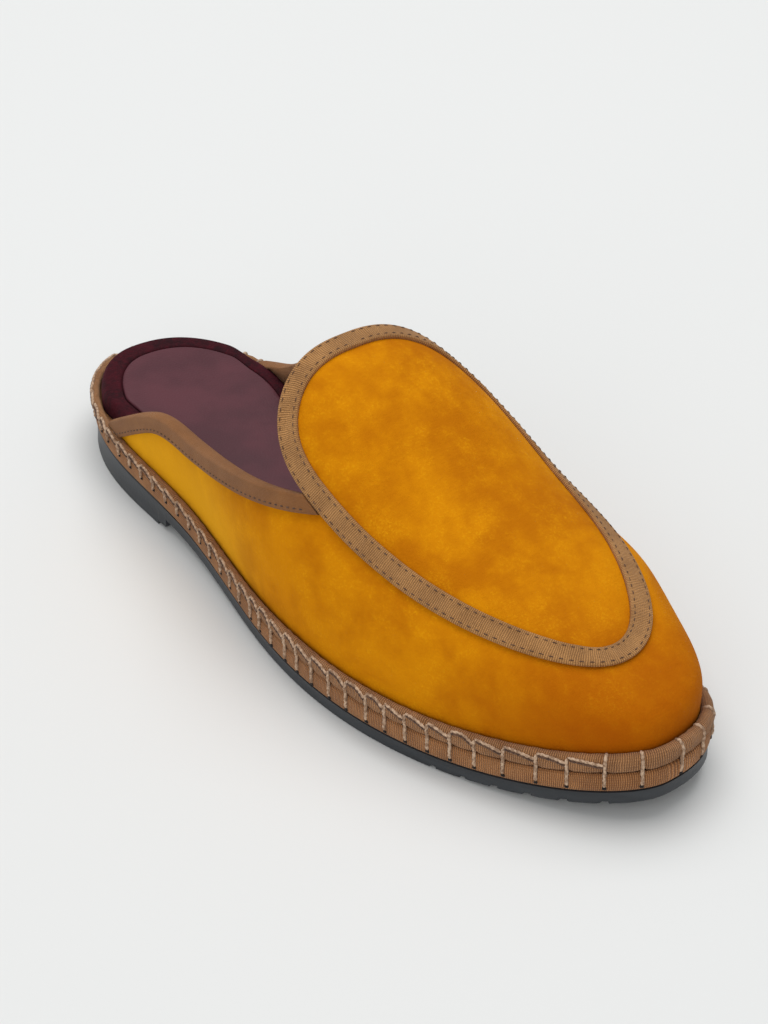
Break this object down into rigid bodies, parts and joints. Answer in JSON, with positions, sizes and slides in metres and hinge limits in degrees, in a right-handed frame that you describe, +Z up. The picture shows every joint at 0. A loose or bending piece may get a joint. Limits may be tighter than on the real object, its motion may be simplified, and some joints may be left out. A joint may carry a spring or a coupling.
{
  "type": "slipper",
  "caption": "Backless velvet mule slipper with a ribbon-edged apron front, folded collar tapes, a stitched welt roll, a padded footbed and a low-heeled rubber sole.",
  "frame": {"origin": "on the floor, under the middle of the slipper's bounding box", "axes": "+X to the toe, +Y to the wearer's left (the inner, medial side of this right slipper), +Z up"},
  "size_m": [0.2604, 0.0884, 0.0826],
  "materials": {
    "rubber": "satin",
    "midsole_tape": "woven, matt",
    "welt_tape": "woven, matt",
    "footbed_velvet": "velvet",
    "pad_leather": "soft sheen",
    "upper_velvet": "velvet",
    "ribbon": "woven, matt"
  },
  "bodies": {
    "root": {"outsole": "rubber", "midsole": "midsole_tape", "welt_roll": "welt_tape", "insole": "footbed_velvet", "sock_pad": "pad_leather", "upper": "upper_velvet", "apron_ribbon": "ribbon", "collar_tape_lateral": "ribbon", "collar_tape_medial": "ribbon"}
  },
  "joints": []
}
